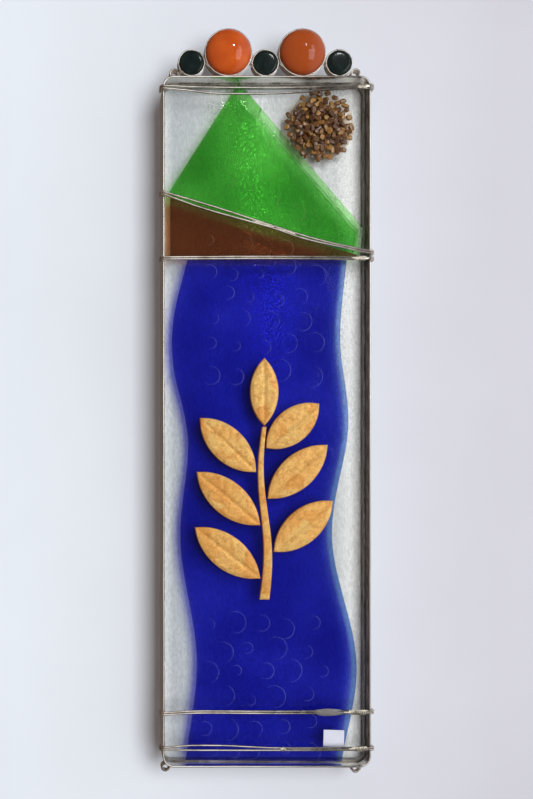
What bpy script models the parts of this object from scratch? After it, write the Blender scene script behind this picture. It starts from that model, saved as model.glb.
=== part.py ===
"""Wall-hung scroll case: a tray of sheet metal with a coloured glass front and a crown of set stones.

Units are metres and +Z is up. The front faces -Y, the wall plane is y = 0, and the origin is the
middle of the tray's rear face. Neighbouring pieces keep GAP between them.
"""

import math

import bmesh
import bpy
from mathutils import Vector

GAP = 0.0003
SHARP_ANGLE = 35

# Tray
CASE_WIDTH = 0.0824
CASE_HEIGHT = 0.273
CASE_DEPTH = 0.018
SHEET = 0.0008
CORNER_RADIUS = 0.0044
CORNER_STEPS = 8

# Layers of the front, from the scroll space towards the viewer
REAR_PANEL_THICKNESS = 0.0008
SCROLL_SPACE_DEPTH = 0.0077
BACKING_THICKNESS = 0.0006
CLEAR_GLASS_THICKNESS = 0.004
COLOURED_GLASS_THICKNESS = 0.0025
GILDED_THICKNESS = 0.002

BACKING_REAR = -SCROLL_SPACE_DEPTH
BACKING_FRONT = BACKING_REAR - BACKING_THICKNESS
CLEAR_REAR = BACKING_FRONT - GAP
CLEAR_FRONT = CLEAR_REAR - CLEAR_GLASS_THICKNESS
COLOURED_REAR = CLEAR_FRONT - GAP
COLOURED_FRONT = COLOURED_REAR - COLOURED_GLASS_THICKNESS
GILDED_REAR = COLOURED_FRONT - GAP
GILDED_FRONT = GILDED_REAR - GILDED_THICKNESS
TRAY_FRONT = -CASE_DEPTH

# Coloured glass. The sloping joint runs between green and brown, the level one between brown and blue.
SLOPE_START = Vector((-0.0404, 0.0909))
SLOPE_END = Vector((0.0398, 0.0658))
LEVEL_JOINT_Z = 0.0653
JOINT_HALF = 0.00035
GREEN_APEX = (-0.0106, 0.1352)
GREEN_LEFT_X = -0.0388
GREEN_RIGHT_CORNER = (0.0392, 0.0768)
GREEN_FOOT_X = 0.0378
BROWN_LEFT_X = -0.0396
BROWN_TIP_X = 0.0365
WAVE_STEPS = 5
WAVE_LEFT = (
    (-0.0309, 0.0650),
    (-0.0364, 0.0420),
    (-0.0366, 0.0220),
    (-0.0308, -0.0080),
    (-0.0338, -0.0480),
    (-0.0273, -0.0940),
    (-0.0317, -0.1344),
)
WAVE_RIGHT = (
    (0.0303, -0.1349),
    (0.0362, -0.0950),
    (0.0265, -0.0460),
    (0.0329, -0.0020),
    (0.0297, 0.0326),
    (0.0323, 0.0650),
)

# Gilded sprig: a waved stem, a tip leaf and six side leaves
STEM_X = -0.0009
STEM_LOW = -0.0703
STEM_HIGH = -0.0020
STEM_SWAY = 0.0014
STEM_WIDTH_LOW = 0.0040
STEM_WIDTH_HIGH = 0.0018
STEM_STEPS = 12
LEAF_ARC_STEPS = 7
LEAF_WIDTH = 0.0134
TIP_LEAF = (0.0270, 0.0112)
# side (-1 left, 1 right), height of the foot, length, angle from vertical in degrees
SIDE_LEAVES = (
    ("leaf_left_lower", -1, -0.0620, 0.0330, 52),
    ("leaf_left_middle", -1, -0.0410, 0.0330, 50),
    ("leaf_left_upper", -1, -0.0200, 0.0310, 46),
    ("leaf_right_lower", 1, -0.0515, 0.0310, 49),
    ("leaf_right_middle", 1, -0.0305, 0.0320, 48),
    ("leaf_right_upper", 1, -0.0105, 0.0275, 50),
)

# Seeds behind the top wires, and a blank paper label
SEEDS_CENTRE = (0.0223, 0.1185)
SEEDS_RADIUS = 0.0140
SEEDS_HEIGHT = 0.0035
SEEDS_EDGE_HEIGHT = 0.0012
SEEDS_SHOULDER_RADIUS = 0.0105
SEEDS_SHOULDER_HEIGHT = 0.0028
LABEL_CENTRE = (0.0269, -0.1254)
LABEL_SIZE = (0.0082, 0.0065)
LABEL_TURN = 1.5
LABEL_THICKNESS = 0.0002

# Wires across the front. Each strand: its name and the points of its front run.
WIRE_RADIUS = 0.00041
WIRE_SIDES_RESOLUTION = 2
WIRE_Y = TRAY_FRONT - GAP - WIRE_RADIUS
WIRE_SIDE_X = CASE_WIDTH / 2 + GAP + WIRE_RADIUS
WIRE_BEND = 0.0011
WIRE_BEND_STEPS = 3
WIRE_STEPS = 3
WIRE_LEG_END = -0.0155
WIRES = (
    ("top_wire_upper", ((-0.0409, 0.1322), (-0.0206, 0.1315), (0.0128, 0.1315), (0.0409, 0.1324))),
    ("top_wire_lower", ((-0.0409, 0.1309), (-0.0304, 0.1299), (-0.0206, 0.1288), (-0.0021, 0.1286),
                        (0.0128, 0.1293), (0.0246, 0.1303), (0.0409, 0.1311))),
    ("slope_wire_upper", ((-0.0409, 0.0905), (-0.0190, 0.0840), (0.0170, 0.0725), (0.0409, 0.0671))),
    ("slope_wire_lower", ((-0.0409, 0.0892), (-0.0245, 0.0834), (0.0010, 0.0762), (0.0160, 0.0713),
                          (0.0409, 0.0659))),
    ("level_wire_upper", ((-0.0409, 0.0648), (-0.0001, 0.0650), (0.0409, 0.0647))),
    ("level_wire_lower", ((-0.0409, 0.0636), (-0.0001, 0.0638), (0.0409, 0.0635))),
    ("lower_wire_upper", ((-0.0409, -0.1144), (-0.0265, -0.1137), (0.0003, -0.1138), (0.0409, -0.1137))),
    ("lower_wire_lower", ((-0.0409, -0.1156), (-0.0265, -0.1149), (0.0003, -0.1150), (0.0409, -0.1149))),
    ("base_wire_upper", ((-0.0409, -0.1282), (-0.0310, -0.1273), (-0.0166, -0.1273), (0.0054, -0.1282),
                         (0.0409, -0.1281))),
    ("base_wire_lower", ((-0.0409, -0.1294), (-0.0001, -0.1295), (0.0409, -0.1293))),
)

# Crown of five set stones
TURN_STEPS = 28
CROWN_FRONT = TRAY_FRONT + 0.0015
BEZEL_DEPTH = 0.0032
BEZEL_WALL = 0.0004
BEZEL_FLOOR = 0.0005
BIG_BEZEL_RADIUS = 0.0095
SMALL_BEZEL_RADIUS = 0.0054
CROWN_SHIFT = -0.0003
DOME_RISE = 0.0042
DOME_RINGS = 4
SMALL_STONE_RISE = 0.0006
SMALL_STONE_BEVEL = 0.0006

# Nail loops: wire coils whose axis is square to the wall
LOOP_WIRE_RADIUS = 0.0004
LOOP_RADIUS = 0.0015
LOOP_TURNS = 3.75
LOOP_PITCH = 0.00095
LOOP_STEPS_PER_TURN = 14
LOOPS = (
    ("nail_loop_top_left", (-0.0364, 0.1387), -0.0152),
    ("nail_loop_top_right", (0.0358, 0.1387), -0.0152),
    ("nail_loop_bottom_left", (-0.03944, -0.13815), -0.0120),
    ("nail_loop_bottom_right", (0.0370, -0.1387), -0.0120),
)

# Rear of the case: scroll space, its sliding cover and what holds them
OPENING_WIDTH = 0.025
OPENING_LOW = -0.110
OPENING_HIGH = -0.010
CUTTER_REACH = 0.003
COVER_WIDTH = 0.0280
COVER_OVERLAP = 0.002
COVER_THICKNESS = 0.0006
COVER_FRONT = -REAR_PANEL_THICKNESS - GAP - COVER_THICKNESS
PULL_WIDTH = 0.012
PULL_HEIGHT = 0.003
PULL_ABOVE_FOOT = 0.0045
PULL_ROOT = 0.0003
RAIL_THICKNESS = 0.0006
RAIL_FOOT = 0.002
RAIL_LIP_OVERLAP = 0.0015
COVER_TRAVEL = 0.092
STOP_HEIGHT = 0.002
SCROLL_LENGTH = 0.076
SCROLL_RADIUS = 0.0023
SCROLL_SHEET = 0.00032
SCROLL_TURNS = 2.4
SCROLL_PITCH = 0.00055
SCROLL_STEPS_PER_TURN = 18
SCROLL_Y = -0.0045
SCROLL_Z = (OPENING_LOW + OPENING_HIGH) / 2
CLIP_SHEET = 0.0003
CLIP_WIDTH = 0.005
CLIP_SPREAD = 0.024
CLIP_STEPS = 12
CLIP_HALF_ANGLE = 125
SPACER_WIDTH = 0.006
SPACER_END_CLEARANCE = 0.008


def material(name, colour, roughness, metallic=0.0, transmission=0.0):
    made = bpy.data.materials.new(name)
    made.use_nodes = True
    shader = made.node_tree.nodes["Principled BSDF"]
    shader.inputs["Base Color"].default_value = (*colour, 1.0)
    shader.inputs["Roughness"].default_value = roughness
    shader.inputs["Metallic"].default_value = metallic
    shader.inputs["Transmission Weight"].default_value = transmission
    made.diffuse_color = (*colour, 1.0)
    return made


def finished_object(name, bm, finish, location=(0.0, 0.0, 0.0)):
    bmesh.ops.recalc_face_normals(bm, faces=bm.faces)
    mesh = bpy.data.meshes.new(name)
    bm.to_mesh(mesh)
    bm.free()
    mesh.shade_smooth()
    mesh.set_sharp_from_angle(angle=math.radians(SHARP_ANGLE))
    mesh.materials.append(finish)
    made = bpy.data.objects.new(name, mesh)
    made.location = location
    bpy.context.scene.collection.objects.link(made)
    return made


def extruded(name, outline, start, end, finish, location=(0.0, 0.0, 0.0), along="Y"):
    """A prism: an outline of (y, z) points drawn out along X, of (x, z) along Y, or of (x, y) along Z."""
    axis = "XYZ".index(along)
    step = Vector((0.0, 0.0, 0.0))
    step[axis] = end - start
    bm = bmesh.new()
    corners = []
    for point in outline:
        place = list(point)
        place.insert(axis, start)
        corners.append(bm.verts.new(place))
    grown = bmesh.ops.extrude_face_region(bm, geom=[bm.faces.new(corners)])["geom"]
    moved = [item for item in grown if isinstance(item, bmesh.types.BMVert)]
    bmesh.ops.translate(bm, vec=step, verts=moved)
    return finished_object(name, bm, finish, location)


def block(name, low, high, finish):
    """A box given by its lowest and highest corners, with its origin in the middle."""
    centre = (Vector(low) + Vector(high)) / 2
    half = (Vector(high) - Vector(low)) / 2
    outline = ((-half.x, -half.z), (half.x, -half.z), (half.x, half.z), (-half.x, half.z))
    return extruded(name, outline, -half.y, half.y, finish, centre)


def turned(name, profile, finish, location):
    """A body turned about Y from a profile of (radius, y) points that starts and ends on the axis."""
    bm = bmesh.new()
    points = [bm.verts.new((radius, y, 0.0)) for radius, y in profile]
    edges = [bm.edges.new(pair) for pair in zip(points, points[1:])]
    bmesh.ops.spin(bm, geom=points + edges, cent=(0, 0, 0), axis=(0, 1, 0),
                   angle=2 * math.pi, steps=TURN_STEPS, use_merge=True)
    bmesh.ops.remove_doubles(bm, verts=bm.verts, dist=1e-6)
    return finished_object(name, bm, finish, location)


def bent_wire(name, points, radius, finish, location=(0.0, 0.0, 0.0)):
    """A round wire along a list of points."""
    curve = bpy.data.curves.new(name, "CURVE")
    curve.dimensions = "3D"
    curve.bevel_depth = radius
    curve.bevel_resolution = WIRE_SIDES_RESOLUTION
    curve.use_fill_caps = True
    spline = curve.splines.new("POLY")
    spline.points.add(len(points) - 1)
    for target, point in zip(spline.points, points):
        target.co = (*point, 1.0)
    spline.use_smooth = True
    curve.materials.append(finish)
    made = bpy.data.objects.new(name, curve)
    made.location = location
    bpy.context.scene.collection.objects.link(made)
    return made


def boolean(target, operation, other):
    cut = target.modifiers.new(operation.lower(), "BOOLEAN")
    cut.operation = operation
    cut.solver = "EXACT"
    cut.object = other
    other.hide_render = True
    other.display_type = "WIRE"


def rounded_rectangle(width, height, radius):
    """Counter-clockwise (x, z) points of a rectangle with round corners, centred on the origin."""
    points = []
    for quarter, (side_x, side_z) in enumerate(((1, 1), (-1, 1), (-1, -1), (1, -1))):
        centre_x = side_x * (width / 2 - radius)
        centre_z = side_z * (height / 2 - radius)
        for step in range(CORNER_STEPS + 1):
            angle = math.radians(90) * (quarter + step / CORNER_STEPS)
            points.append((centre_x + radius * math.cos(angle), centre_z + radius * math.sin(angle)))
    return points


def inset_rectangle(inset):
    return rounded_rectangle(CASE_WIDTH - 2 * inset, CASE_HEIGHT - 2 * inset, CORNER_RADIUS - inset)


def smooth_path(knots, steps):
    """Points on a Catmull-Rom curve through the knots."""
    knots = [Vector(knot) for knot in knots]
    ends = [2 * knots[0] - knots[1]] + knots + [2 * knots[-1] - knots[-2]]
    path = []
    for before, start, end, after in zip(ends, ends[1:], ends[2:], ends[3:]):
        for step in range(steps):
            t = step / steps
            path.append(0.5 * (2 * start + (end - before) * t
                               + (2 * before - 5 * start + 4 * end - after) * t ** 2
                               + (3 * start - before - 3 * end + after) * t ** 3))
    return path + [knots[-1]]


def slope_z(x):
    """Height of the sloping glass joint at x."""
    run = SLOPE_END - SLOPE_START
    return SLOPE_START.y + run.y * (x - SLOPE_START.x) / run.x


def build_tray(sheet):
    """The band of sheet metal that stands on edge round the whole case."""
    outer = inset_rectangle(0.0)
    inner = inset_rectangle(SHEET)
    bm = bmesh.new()
    loops = [[bm.verts.new((x, y, z)) for x, z in outline]
             for outline, y in ((outer, 0.0), (outer, TRAY_FRONT), (inner, TRAY_FRONT), (inner, 0.0))]
    for one, other in zip(loops, loops[1:] + loops[:1]):
        for i in range(len(one)):
            j = (i + 1) % len(one)
            bm.faces.new((one[i], one[j], other[j], other[i]))
    finished_object("rim_band", bm, sheet)


def build_panels(sheet, foil, clear):
    panel = extruded("rear_panel", inset_rectangle(SHEET + GAP), -REAR_PANEL_THICKNESS, 0.0, sheet)
    opening = block("opening_cutter", (-OPENING_WIDTH / 2, -CUTTER_REACH, OPENING_LOW),
                    (OPENING_WIDTH / 2, CUTTER_REACH, OPENING_HIGH), sheet)
    boolean(panel, "DIFFERENCE", opening)
    extruded("backing_sheet", inset_rectangle(SHEET + GAP), BACKING_FRONT, BACKING_REAR, foil)
    extruded("clear_pane", inset_rectangle(SHEET + GAP), CLEAR_FRONT, CLEAR_REAR, clear)


def build_coloured_glass(green, brown, blue):
    green_outline = (
        GREEN_APEX,
        (GREEN_LEFT_X, slope_z(GREEN_LEFT_X) + JOINT_HALF),
        (GREEN_FOOT_X, slope_z(GREEN_FOOT_X) + JOINT_HALF),
        GREEN_RIGHT_CORNER,
    )
    brown_outline = (
        (BROWN_LEFT_X, slope_z(BROWN_LEFT_X) - JOINT_HALF),
        (BROWN_LEFT_X, LEVEL_JOINT_Z + JOINT_HALF),
        (BROWN_TIP_X, LEVEL_JOINT_Z + JOINT_HALF),
        (BROWN_TIP_X, slope_z(BROWN_TIP_X) - JOINT_HALF),
    )
    blue_outline = smooth_path(WAVE_LEFT, WAVE_STEPS) + smooth_path(WAVE_RIGHT, WAVE_STEPS)
    for name, outline, finish in (("green_glass", green_outline, green),
                                  ("brown_glass", brown_outline, brown),
                                  ("blue_glass", blue_outline, blue)):
        extruded(name, outline, COLOURED_FRONT, COLOURED_REAR, finish)


def stem_centre(z):
    return STEM_X + STEM_SWAY * math.sin(2 * math.pi * (z - STEM_LOW) / (STEM_HIGH - STEM_LOW))


def stem_half_width(z):
    share = (z - STEM_LOW) / (STEM_HIGH - STEM_LOW)
    return (STEM_WIDTH_LOW + (STEM_WIDTH_HIGH - STEM_WIDTH_LOW) * share) / 2


def leaf_outline(length, width):
    """Two equal arcs that meet in points at (0, 0) and (0, length)."""
    radius = (length ** 2 + width ** 2) / (4 * width)
    half_angle = math.asin(length / (2 * radius))
    points = []
    for side in (1, -1):
        for step in range(LEAF_ARC_STEPS):
            angle = half_angle * (2 * step / LEAF_ARC_STEPS - 1)
            x = radius * math.cos(angle) - radius * math.cos(half_angle)
            points.append((side * x, length / 2 + side * radius * math.sin(angle)))
    return points


def build_leaf(name, foot, length, width, lean, gilt):
    """A leaf that stands on foot (x, z) and leans over by an angle towards +X."""
    turn = math.radians(lean)
    outline = [(x * math.cos(turn) + z * math.sin(turn), z * math.cos(turn) - x * math.sin(turn))
               for x, z in leaf_outline(length, width)]
    extruded(name, outline, GILDED_FRONT, GILDED_REAR, gilt, (foot[0], 0.0, foot[1]))


def build_sprig(gilt):
    heights = [STEM_LOW + (STEM_HIGH - STEM_LOW) * i / STEM_STEPS for i in range(STEM_STEPS + 1)]
    right = [(stem_centre(z) + stem_half_width(z), z) for z in heights]
    left = [(stem_centre(z) - stem_half_width(z), z) for z in reversed(heights)]
    extruded("sprig_stem", right + left, GILDED_FRONT, GILDED_REAR, gilt)
    build_leaf("leaf_tip", (stem_centre(STEM_HIGH), STEM_HIGH + GAP), *TIP_LEAF, 0, gilt)
    for name, side, z, length, lean in SIDE_LEAVES:
        foot_x = stem_centre(z) + side * (stem_half_width(z) + 2 * GAP)
        build_leaf(name, (foot_x, z), length, LEAF_WIDTH, side * lean, gilt)


def build_seeds(seed):
    """The heap of seeds as one low mound."""
    foot = CLEAR_FRONT - GAP
    profile = ((0.0, foot), (SEEDS_RADIUS, foot), (SEEDS_RADIUS, foot - SEEDS_EDGE_HEIGHT),
               (SEEDS_SHOULDER_RADIUS, foot - SEEDS_SHOULDER_HEIGHT), (0.0, foot - SEEDS_HEIGHT))
    turned("seed_cluster", profile, seed, (SEEDS_CENTRE[0], 0.0, SEEDS_CENTRE[1]))


def build_label(paper):
    rear = COLOURED_FRONT - GAP
    half_x, half_z = LABEL_SIZE[0] / 2, LABEL_SIZE[1] / 2
    outline = ((-half_x, -half_z), (half_x, -half_z), (half_x, half_z), (-half_x, half_z))
    label = extruded("blank_label", outline, rear - LABEL_THICKNESS, rear, paper,
                     (LABEL_CENTRE[0], 0.0, LABEL_CENTRE[1]))
    label.rotation_euler.y = math.radians(LABEL_TURN)


def wire_end(side, height):
    """The leg along the tray's side and the bend over its front edge, outside end first."""
    bend_centre_x = side * (WIRE_SIDE_X - WIRE_BEND)
    bend_centre_y = WIRE_Y + WIRE_BEND
    points = [(side * WIRE_SIDE_X, WIRE_LEG_END, height)]
    for step in range(WIRE_BEND_STEPS + 1):
        angle = math.radians(90) * step / WIRE_BEND_STEPS
        points.append((bend_centre_x + side * WIRE_BEND * math.cos(angle),
                       bend_centre_y - WIRE_BEND * math.sin(angle), height))
    return points


def build_wires(tinned):
    for name, knots in WIRES:
        run = [(point.x, WIRE_Y, point.y) for point in smooth_path(knots, WIRE_STEPS)]
        start = wire_end(-1, knots[0][1])[:-1]
        end = wire_end(1, knots[-1][1])[:-1]
        bent_wire(name, start + run + end[::-1], WIRE_RADIUS, tinned)


def bezel_profile(radius):
    front, rear = CROWN_FRONT, CROWN_FRONT + BEZEL_DEPTH
    inner, floor = radius - BEZEL_WALL, rear - BEZEL_FLOOR
    return ((0.0, floor), (inner, floor), (inner, front), (radius, front), (radius, rear), (0.0, rear))


def domed_stone_profile(radius):
    """A flat back, an upright girdle as high as the bezel, and a dome of elliptical section."""
    rear = CROWN_FRONT + BEZEL_DEPTH - BEZEL_FLOOR - GAP
    profile = [(0.0, rear), (radius, rear)]
    for ring in range(DOME_RINGS + 1):
        angle = math.radians(90) * ring / DOME_RINGS
        profile.append((radius * math.cos(angle), CROWN_FRONT - DOME_RISE * math.sin(angle)))
    profile[-1] = (0.0, CROWN_FRONT - DOME_RISE)
    return profile


def flat_stone_profile(radius):
    rear = CROWN_FRONT + BEZEL_DEPTH - BEZEL_FLOOR - GAP
    top = CROWN_FRONT - SMALL_STONE_RISE
    return ((0.0, rear), (radius, rear), (radius, CROWN_FRONT), (radius - SMALL_STONE_BEVEL, top), (0.0, top))


def build_crown(silver, carnelian, dark_stone):
    """Five bezels side by side on the tray's top, each resting on the tray and next to its neighbours."""
    top = CASE_HEIGHT / 2 + GAP
    reach = BIG_BEZEL_RADIUS + SMALL_BEZEL_RADIUS + GAP
    pitch = math.sqrt(reach ** 2 - (BIG_BEZEL_RADIUS - SMALL_BEZEL_RADIUS) ** 2)
    places = (("small_left", -2, False), ("big_left", -1, True), ("small_middle", 0, False),
              ("big_right", 1, True), ("small_right", 2, False))
    for name, index, big in places:
        radius = BIG_BEZEL_RADIUS if big else SMALL_BEZEL_RADIUS
        stone_radius = radius - BEZEL_WALL - GAP
        location = (CROWN_SHIFT + index * pitch, 0.0, top + radius)
        turned("bezel_" + name, bezel_profile(radius), silver, location)
        profile = domed_stone_profile(stone_radius) if big else flat_stone_profile(stone_radius)
        turned("stone_" + name, profile, carnelian if big else dark_stone, location)


def build_loops(tinned):
    steps = round(LOOP_TURNS * LOOP_STEPS_PER_TURN)
    for name, (x, z), front in LOOPS:
        coil = []
        for step in range(steps + 1):
            turn = step / LOOP_STEPS_PER_TURN
            angle = 2 * math.pi * turn
            coil.append((LOOP_RADIUS * math.cos(angle), LOOP_PITCH * turn, LOOP_RADIUS * math.sin(angle)))
        bent_wire(name, coil, LOOP_WIRE_RADIUS, tinned, (x, front, z))


def build_cover(sheet):
    """The cover over the scroll opening. It lifts by a thumb pull that stands in the opening."""
    low = OPENING_LOW - COVER_OVERLAP
    high = OPENING_HIGH + COVER_OVERLAP
    middle = (low + high) / 2
    rear = COVER_FRONT + COVER_THICKNESS
    cover = block("scroll_cover", (-COVER_WIDTH / 2, COVER_FRONT, low), (COVER_WIDTH / 2, rear, high), sheet)
    pull_outline = ((rear - PULL_ROOT, -PULL_HEIGHT / 2), (rear - PULL_ROOT, PULL_HEIGHT / 2),
                    (-GAP, PULL_HEIGHT / 4), (-GAP, -PULL_HEIGHT / 4))
    pull_place = (0.0, -cover.location.y, OPENING_LOW + PULL_ABOVE_FOOT - middle)
    pull = extruded("cover_pull_shape", pull_outline, -PULL_WIDTH / 2, PULL_WIDTH / 2, sheet, pull_place, "X")
    pull.parent = cover
    boolean(cover, "UNION", pull)


def build_cover_guides(sheet):
    """L-shaped rails beside the opening, and a stop across them at each end of the cover's travel."""
    inner = COVER_WIDTH / 2 + GAP
    outer = inner + RAIL_FOOT
    panel = -REAR_PANEL_THICKNESS - GAP
    under_lip = COVER_FRONT - GAP
    lip_front = under_lip - RAIL_THICKNESS
    low = OPENING_LOW - COVER_OVERLAP
    high = OPENING_HIGH + COVER_OVERLAP + COVER_TRAVEL
    for name, side in (("cover_rail_left", -1), ("cover_rail_right", 1)):
        outline = [(side * x, y) for x, y in (
            (inner, panel), (outer, panel), (outer, lip_front),
            (inner - GAP - RAIL_LIP_OVERLAP, lip_front), (inner - GAP - RAIL_LIP_OVERLAP, under_lip),
            (inner, under_lip))]
        extruded(name, outline, low, high, sheet, along="Z")
    for name, z in (("cover_stop_upper", high + GAP), ("cover_stop_lower", low - GAP - STOP_HEIGHT)):
        block(name, (-outer, lip_front, z), (outer, panel, z + STOP_HEIGHT), sheet)


def build_scroll(parchment):
    """A rolled sheet: a spiral strip in plan."""
    steps = round(SCROLL_TURNS * SCROLL_STEPS_PER_TURN)
    outside, inside = [], []
    for step in range(steps + 1):
        turn = step / SCROLL_STEPS_PER_TURN
        angle = 2 * math.pi * turn
        radius = SCROLL_RADIUS - SCROLL_PITCH * turn
        outside.append((radius * math.cos(angle), radius * math.sin(angle)))
        inside.append(((radius - SCROLL_SHEET) * math.cos(angle), (radius - SCROLL_SHEET) * math.sin(angle)))
    extruded("scroll", outside + inside[::-1], -SCROLL_LENGTH / 2, SCROLL_LENGTH / 2, parchment,
             (0.0, SCROLL_Y, SCROLL_Z), along="Z")


def build_clips(sheet):
    """Spring clips that hold the scroll and open towards the rear."""
    inner = SCROLL_RADIUS + GAP
    outer = inner + CLIP_SHEET
    angles = [math.radians(-90 + CLIP_HALF_ANGLE * (2 * i / CLIP_STEPS - 1)) for i in range(CLIP_STEPS + 1)]
    outline = [(outer * math.cos(a), outer * math.sin(a)) for a in angles]
    outline += [(inner * math.cos(a), inner * math.sin(a)) for a in reversed(angles)]
    for name, z in (("scroll_clip_upper", SCROLL_Z + CLIP_SPREAD), ("scroll_clip_lower", SCROLL_Z - CLIP_SPREAD)):
        extruded(name, outline, -CLIP_WIDTH / 2, CLIP_WIDTH / 2, sheet, (0.0, SCROLL_Y, z), along="Z")


def build_spacers(wood):
    """Strips that hold the backing sheet and the rear panel apart."""
    front, rear = BACKING_REAR + GAP, -REAR_PANEL_THICKNESS - GAP
    edge_x = CASE_WIDTH / 2 - SHEET - GAP
    edge_z = CASE_HEIGHT / 2 - SHEET - GAP
    inside_x = edge_x - SPACER_WIDTH
    reach_z = edge_z - SPACER_END_CLEARANCE
    block("spacer_left", (-edge_x, front, -reach_z), (-inside_x, rear, reach_z), wood)
    block("spacer_right", (inside_x, front, -reach_z), (edge_x, rear, reach_z), wood)
    half_x = inside_x - GAP
    block("spacer_top", (-half_x, front, edge_z - SPACER_WIDTH), (half_x, rear, edge_z), wood)
    block("spacer_bottom", (-half_x, front, -edge_z), (half_x, rear, SPACER_WIDTH - edge_z), wood)


def main():
    for old in list(bpy.data.objects):
        bpy.data.objects.remove(old)
    sheet = material("tinned_sheet", (0.72, 0.70, 0.67), 0.22, metallic=1.0)
    wire = material("tinned_wire", (0.68, 0.64, 0.58), 0.25, metallic=1.0)
    silver = material("bezel_silver", (0.80, 0.78, 0.74), 0.12, metallic=1.0)
    foil = material("silver_foil", (0.82, 0.83, 0.84), 0.35, metallic=0.8)
    clear = material("clear_glass", (0.90, 0.93, 0.93), 0.08, transmission=0.9)
    green = material("green_glass", (0.03, 0.32, 0.04), 0.12, transmission=0.5)
    brown = material("brown_glass", (0.12, 0.04, 0.015), 0.15, transmission=0.4)
    blue = material("blue_glass", (0.012, 0.012, 0.33), 0.10, transmission=0.5)
    gilt = material("gold_leaf", (0.72, 0.42, 0.14), 0.35, metallic=1.0)
    seed = material("seeds", (0.30, 0.14, 0.04), 0.30)
    paper = material("paper", (0.85, 0.85, 0.86), 0.80)
    carnelian = material("carnelian", (0.62, 0.13, 0.03), 0.08)
    dark_stone = material("dark_stone", (0.012, 0.018, 0.016), 0.10)
    parchment = material("parchment", (0.80, 0.72, 0.55), 0.75)
    wood = material("spacer_wood", (0.45, 0.30, 0.17), 0.70)
    build_tray(sheet)
    build_panels(sheet, foil, clear)
    build_coloured_glass(green, brown, blue)
    build_sprig(gilt)
    build_seeds(seed)
    build_label(paper)
    build_wires(wire)
    build_crown(silver, carnelian, dark_stone)
    build_loops(wire)
    build_cover(sheet)
    build_cover_guides(sheet)
    build_scroll(parchment)
    build_clips(sheet)
    build_spacers(wood)


main()
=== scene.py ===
"""Looks of the wall-hung scroll case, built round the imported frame.

Units are metres, in the frame's own axes: +Z up, the front faces -Y and the wall plane is y = 0.
Every piece takes its place from a node of the frame. Each material is a set of shader nodes.
"""

import math
import random

import bmesh
import bpy
from mathutils import Matrix, Vector, noise
from mathutils.geometry import delaunay_2d_cdt


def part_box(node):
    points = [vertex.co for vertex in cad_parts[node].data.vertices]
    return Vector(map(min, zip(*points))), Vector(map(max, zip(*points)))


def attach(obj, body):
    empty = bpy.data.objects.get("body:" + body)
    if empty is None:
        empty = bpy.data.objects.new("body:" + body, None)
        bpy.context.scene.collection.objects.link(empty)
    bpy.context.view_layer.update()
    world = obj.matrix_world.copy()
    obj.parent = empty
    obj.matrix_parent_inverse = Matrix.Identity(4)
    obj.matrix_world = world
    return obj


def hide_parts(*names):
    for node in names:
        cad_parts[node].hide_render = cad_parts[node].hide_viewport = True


SEED = 7
MERGE = 1e-6
ON_FACE = 1e-5
QUARTER = math.radians(90)

# How finely the pieces are built
OUTLINE_STEP = 0.0012
LONG_STEP = 0.004
BORDER_STEP = 0.0016
SHARP_TURN = math.radians(32)
EDGE_STEPS = 4
ROW_RISE = 0.87
BLOB_ROUNDS = 3
RUN_ROUNDS = 4

# Tray
SHEET = 0.0008
CORNER_RADIUS = 0.0044
CORNER_STEPS = 14
RIM_LIP = 0.00028
RIM_STEP = 0.0035
RIM_DEPTH_STEPS = 9
RIM_WAVE = 0.00006
SEAM_RADIUS = 0.00042
PUTTY_RADIUS = 0.00030
PUTTY_GAP = (0.00003, 0.00022)
WORN_EDGE = 0.00010

# Glass and the foil behind it
FOIL_EDGE = 0.0002
FOIL_STEP = 0.0013
FOIL_CREASE = 0.000012
FOIL_SLANT = math.radians(-38)
PANE_EDGE = 0.0004
PANE_STEP = 0.0020
GLASS_EDGE = 0.0006
GLASS_STEP = 0.0014
GLASS_WAVE = 0.00008
FIBRE_SLANT = math.radians(35)
FUSED_STRIP = 0.0032

# Blisters in the coloured glass: each shows as a fine raised arc on its lit side
BLISTER_WIRE = 0.00004
BLISTER_SIDES = 6
BLISTER_STEPS = 16
BLISTER_RADIUS = (0.0018, 0.0046)
BLISTER_START = (-130, -60)
BLISTER_END = (60, 135)
BLISTER_REACH = 0.025
BLISTER_PITCH = 0.0100
BLISTER_STAGGER = 0.0022
UPPER_BLISTERS_FOOT = 0.020
LOWER_BLISTERS_HEIGHT = 0.062
BLISTER_MARGIN = (0.005, 0.004)
# Lone blisters of a slab: their places as shares of its width and height
LONE_BLISTERS = {
    "brown_glass": ((0.22, 0.27), (0.42, 0.21), (0.62, 0.132)),
    "green_glass": ((0.30, 0.42), (0.52, 0.30), (0.66, 0.24), (0.47, 0.62)),
}

# Gilded sprig
GILT_STEP = 0.0007
GILT_EDGE = 0.0005
CRINKLE = 0.00011
CRINKLE_SIZE = 0.0034
RIB_DEPTH = 0.00045
RIB_WIDTH = 0.0006
VEIN_DEPTH = 0.00018
VEIN_PITCH = 0.0038
LEAF_CROWN = 0.0005

# Wires
WIRE_SIDES = 14
WIRE_STEP = 0.0011
WIRE_BEND = 0.0011
WIRE_BEND_STEPS = 6
WIRE_WANDER = 0.00005
WIRE_GAP = 0.0006
PAIR_PULL = 0.00018
LOOP_WIRE_RADIUS = 0.0004
LOOP_TURNS = 3.75
LOOP_STEPS_PER_TURN = 40

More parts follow.
